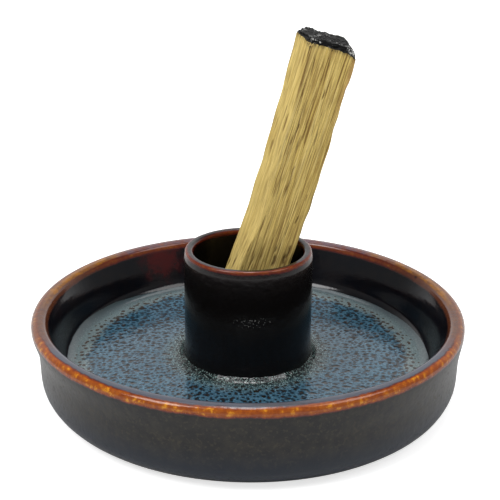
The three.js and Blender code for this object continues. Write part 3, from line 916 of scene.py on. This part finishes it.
def pool_material():
    """Glaze of the floor: dimpled blue with painted light-blue glints, grey at its smooth edge, green-black
    and sparkling at the cup.
    """
    material, graph = new_material("pool_glaze")
    cup_wall, border_ring, pool_edge = (size / MM for size in (CUP_RADIUS, BORDER_RADIUS, POOL_EDGE_RADIUS))
    place = graph.grouped(POT_PLACE, {})
    where, radius = place["Place"], place["Radius"]
    pit, border = attribute(graph, "pit"), attribute(graph, "border")
    cloud = graph.noise(where, 0.12, 4, 0.6)
    fine = graph.noise(where, 1.4, 3, 0.6)
    dust = graph.noise(where, 2.2, 2, 0.5)
    unevenness = graph.minus(fine, 0.5)
    hollow = graph.plus(pit, graph.times(unevenness, 0.28))
    near = graph.plus(radius, graph.times(unevenness, 5.0))

    colour = graph.mix(graph.between(cloud, 0.3, 0.7), rgb(20, 44, 59), rgb(33, 64, 80))
    network = graph.between(hollow, -0.12, 0.14, 1.0, 0.0)
    colour = graph.tint(colour, network, 0.72, rgb(72, 103, 119))
    # Painted highlights: light-blue glints on the glaze between the dimples
    light = graph.times(network, graph.between(dust, 0.53, 0.62, 0.0, 0.45))
    colour = graph.mix(light, colour, rgb(112, 150, 178))
    grey = graph.mix(graph.between(radius, border_ring + 0.5, pool_edge), rgb(86, 99, 102), rgb(56, 66, 70))
    specks = graph.times(graph.between(dust, 0.52, 0.62), graph.between(border, 0.3, 1.0, 0.8, 0.5))
    specks = graph.times(specks, graph.between(near, border_ring, border_ring + 4.5, 1.0, 0.0))
    grey = graph.mix(specks, grey, rgb(136, 150, 146))
    grey = graph.mix(graph.between(radius, pool_edge - 0.3, pool_edge + 1.2, 0.0, 0.8), grey, rgb(30, 42, 41))
    outward = graph.plus(border, graph.times(unevenness, 1.3))
    colour = graph.mix(graph.between(outward, 0.15, 0.9), colour, grey)
    foot = graph.between(near, cup_wall + 3.0, cup_wall + 8.5, 0.9, 0.0)
    green = graph.mix(graph.between(dust, 0.5, 0.6), rgb(42, 60, 64), rgb(112, 132, 132))
    colour = graph.mix(foot, colour, green)
    dimple = graph.mix(graph.between(dust, 0.42, 0.6), rgb(9, 11, 12), rgb(46, 37, 31))
    dimple = graph.tint(dimple, border, 0.7, rgb(72, 62, 56))
    colour = graph.mix(graph.between(hollow, 0.24, 0.5), colour, dimple)
    dark = graph.mix(graph.between(dust, 0.55, 0.62), rgb(10, 18, 19), rgb(96, 116, 112))
    colour = graph.mix(graph.between(near, cup_wall + 1.4, cup_wall + 4.2, 1.0, 0.0), colour, dark)
    relief = graph.times(fine, graph.plus(1.0, graph.times(foot, 2.0)))
    ripple = graph.between(radius, border_ring, pool_edge - 1, 0.0, 3.5)
    relief = graph.plus(relief, graph.times(graph.noise(where, 0.4, 2, 0.5), ripple))
    output_surface(graph, Base_Color=colour, Roughness=0.09, IOR=1.52,
                   Normal=bumped(graph, relief, 0.05 * MM, 0.6))
    return material


def grain(graph, place, across, along, detail=4.0, offset=0.0):
    """Noise drawn out along the grain: cell sizes in millimetres across and along."""
    stretched = graph.add("ShaderNodeMapping", {"Vector": place, "Location": (offset, 0, 0),
                                                "Scale": (1 / across, 1 / across, 1 / along)}).outputs[0]
    return graph.noise(stretched, 1.0, detail, 0.6)


def wood_material():
    """Split wood: straw yellow, streaked along the grain, dark in its crevices with partly painted shade, and
    singed at the burn line.
    """
    material, graph = new_material("split_wood")
    place = graph.grouped(STICK_AXES, {})["Place"]
    crevice, scorch, facet = (attribute(graph, name) for name in ("crevice", "scorch", "facet"))
    bands = grain(graph, place, 2.2, 60, 3)
    fibres = grain(graph, place, 0.7, 24, 4, 7.0)
    threads = grain(graph, place, 0.27, 10, 3, 19.0)
    cracks = grain(graph, place, 0.36, 8, 3, 43.0)
    lines = grain(graph, place, 0.38, 26, 2, 61.0)
    grit = graph.noise(place, 2.2, 3, 0.6)
    colour = graph.mix(graph.between(bands, 0.34, 0.64), rgb(225, 199, 119), rgb(211, 183, 102))
    colour = graph.tint(colour, graph.between(fibres, 0.44, 0.7), 0.5, rgb(168, 138, 70))
    colour = graph.tint(colour, graph.between(threads, 0.47, 0.57), 0.55, rgb(150, 119, 58))
    colour = graph.tint(colour, graph.between(grit, 0.5, 0.66), 0.15, rgb(140, 110, 60))
    colour = graph.tint(colour, graph.between(lines, 0.565, 0.605), 0.8, rgb(116, 84, 34))
    colour = graph.tint(colour, graph.between(lines, 0.36, 0.44, 1.0, 0.0), 0.55, rgb(234, 212, 142))
    colour = graph.mix(graph.between(cracks, 0.66, 0.72), colour, rgb(104, 74, 38))
    # The left facet: its own smoother grain, painted somewhat lighter as the lit side of the stick
    smooth_lit_facet = graph.mix(graph.between(fibres, 0.4, 0.7), rgb(220, 196, 122), rgb(194, 166, 92))
    smooth_lit_facet = graph.tint(smooth_lit_facet, graph.between(threads, 0.48, 0.64), 0.45, rgb(164, 134, 72))
    colour = graph.mix(graph.times(facet, 0.7), colour, smooth_lit_facet)
    split = graph.split(place)
    high = graph.between(split[2], 72.0, 90.0)
    streak = graph.between(graph.plus(split[0], graph.times(fibres, 1.5)), 7.2, 8.2)
    colour = graph.tint(colour, graph.times(streak, high), 0.4, rgb(172, 118, 80))
    # Painted shade: a grey-brown band on the front face just right of the ridge, stronger towards the top
    ridge_shade = graph.times(graph.between(split[0], -5.5, 0.0, 1.0, 0.0), graph.between(split[2], 56.0, 86.0))
    ridge_shade = graph.times(ridge_shade, graph.minus(1.0, facet))
    ridge_shade = graph.times(ridge_shade, graph.between(threads, 0.35, 0.6, 0.05, 0.25))
    colour = graph.mix(ridge_shade, colour, rgb(136, 114, 74))
    # Painted light: the stick is lightened towards its foot, where the dish and cup shade it
    colour = graph.mix(graph.between(split[2], 36.0, 62.0, 0.18, 0.0), colour, rgb(222, 198, 124))
    # Crevices: the wood's own dark grain, with painted shade in the depths of its cracks
    colour = graph.tint(colour, crevice, 0.85, rgb(84, 54, 24))
    singed = graph.times(scorch, graph.between(threads, 0.35, 0.65, 0.2, 0.8))
    colour = graph.mix(singed, colour, rgb(34, 22, 14))
    relief = graph.plus(graph.times(fibres, 0.45), graph.times(threads, 0.4))
    relief = graph.plus(relief, graph.times(grit, 0.08))
    output_surface(graph, Base_Color=colour, Roughness=0.75, IOR=1.35,
                   Normal=bumped(graph, relief, 0.3 * MM, 0.9))
    return material


def char_material():
    """Burnt wood: black, with pale grey-white spots and flecks."""
    material, graph = new_material("charcoal")
    place = graph.grouped(STICK_AXES, {})["Place"]
    crack = attribute(graph, "crack")
    patch = graph.noise(place, 0.45, 4, 0.6)
    dust = graph.noise(place, 1.7, 3, 0.6)
    colour = graph.mix(graph.between(patch, 0.48, 0.66), rgb(2, 2, 2), rgb(18, 18, 19))
    # Painted shade: the cracks are darkened to black
    colour = graph.tint(colour, crack, 0.9, rgb(2, 2, 2))
    # Pale grey-white flecks, and spots along the front top edge and at the right corner
    pale_flecks = graph.times(graph.between(patch, 0.56, 0.62), 0.25)
    for spot, reach in PALE_SPOTS:
        away = graph.distance(place, spot)
        pale_flecks = graph.larger(pale_flecks, graph.between(away, 0.4 * reach, reach, 1.0, 0.0))
    colour = graph.mix(graph.times(pale_flecks, graph.between(dust, 0.49, 0.53)), colour, rgb(214, 214, 210))
    output_surface(graph, Base_Color=colour, Roughness=0.55, IOR=1.3,
                   Normal=bumped(graph, dust, 0.2 * MM, 0.8))
    return material


# Studio

# The photograph's camera, found by fitting the rim, cup and floor circles
CAMERA_DISTANCE = 0.34372
CAMERA_ELEVATION = 0.3689
CAMERA_FOCAL_PIXELS = 1164.7
CAMERA_AIM_HEIGHT = 0.04393
CAMERA_SIDE_PIXELS = -1.57
CAMERA_ROLL = 0.0069
PHOTO_PIXELS = 500

ROOM_LIGHT = 0.38
CEILING_GLOW = 0.15
FRONT_GLOW = 0.3
FLOOR_GLOW = 0.7


def make_camera():
    data = bpy.data.cameras.new("camera")
    data.sensor_width = 36
    data.lens = CAMERA_FOCAL_PIXELS / PHOTO_PIXELS * data.sensor_width
    data.shift_x = -CAMERA_SIDE_PIXELS / PHOTO_PIXELS
    camera = bpy.data.objects.new("camera", data)
    bpy.context.scene.collection.objects.link(camera)
    height = CAMERA_AIM_HEIGHT + CAMERA_DISTANCE * math.sin(CAMERA_ELEVATION)
    place = Matrix.Translation((0, -CAMERA_DISTANCE * math.cos(CAMERA_ELEVATION), height))
    pitch = Matrix.Rotation(math.pi / 2 - CAMERA_ELEVATION, 4, "X")
    camera.matrix_world = place @ pitch @ Matrix.Rotation(CAMERA_ROLL, 4, "Z")
    bpy.context.scene.camera = camera


def make_lamp(name, place, aim, size, power):
    data = bpy.data.lights.new(name, "AREA")
    data.shape = "RECTANGLE"
    data.size, data.size_y = size
    data.energy = power
    lamp = bpy.data.objects.new(name, data)
    lamp.location = place
    lamp.rotation_euler = (Vector(aim) - Vector(place)).to_track_quat("-Z", "Y").to_euler()
    bpy.context.scene.collection.objects.link(lamp)


def make_world():
    """White for the camera and even light, while the glazes mirror a white wall behind and dark elsewhere."""
    world = bpy.data.worlds.new("studio")
    world.use_nodes = True
    world.node_tree.nodes.clear()
    graph = Graph(world.node_tree)
    direction = graph.add("ShaderNodeTexCoord").outputs["Generated"]
    split = graph.split(direction)
    wall = graph.between(split[2], 0.25, 0.85, 1.0, CEILING_GLOW)
    wall = graph.times(wall, graph.between(split[1], 0.25, 0.75, FRONT_GLOW, 1.0))
    path = graph.add("ShaderNodeLightPath").outputs
    mirrored = graph.larger(path["Is Glossy Ray"], path["Is Transmission Ray"])
    strength = graph.blend(mirrored, ROOM_LIGHT, wall)
    strength = graph.larger(strength, path["Is Camera Ray"])
    background = graph.add("ShaderNodeBackground", {"Color": (1, 1, 1, 1), "Strength": strength})
    graph.add("ShaderNodeOutputWorld", {"Surface": background.outputs[0]})
    bpy.context.scene.world = world


def make_floor():
    bm = bmesh.new()
    bmesh.ops.create_circle(bm, cap_ends=True, segments=96, radius=3)
    mesh = bpy.data.meshes.new("floor")
    bm.to_mesh(mesh)
    bm.free()
    floor = bpy.data.objects.new("floor", mesh)
    bpy.context.scene.collection.objects.link(floor)
    material, graph = new_material("white_floor")
    path = graph.add("ShaderNodeLightPath").outputs
    seen = graph.larger(path["Is Camera Ray"], path["Is Transmission Ray"])
    glow = graph.plus(graph.times(seen, FLOOR_GLOW), graph.times(path["Is Glossy Ray"], 0.04))
    output_surface(graph, Base_Color=(0.65, 0.65, 0.65, 1), Roughness=1.0, Specular_IOR_Level=0.0,
                   Emission_Color=(1, 1, 1, 1), Emission_Strength=glow)
    mesh.materials.append(material)


make_dish(dish_material())
make_cup(cup_material())
floor_glaze = pool_material()
make_meniscus(floor_glaze)
make_pool(floor_glaze)
make_stick(wood_material())
make_char(char_material())

make_camera()
make_world()
make_floor()
make_lamp("overhead_softbox", (0.0, 0.2, 0.9), (0, 0, 0.02), (0.7, 0.8), 3.5)
make_lamp("overhead_core", (0.0, 0.0, 0.95), (0, 0, 0.02), (0.16, 0.6), 3.0)
make_lamp("left_softbox", (-0.62, -0.45, 0.95), (0, 0, 0.05), (0.5, 0.5), 7.5)
make_lamp("right_softbox", (0.66, -0.25, 0.9), (0, 0, 0.05), (0.5, 0.5), 3.5)
bpy.context.scene.view_settings.view_transform = "Standard"
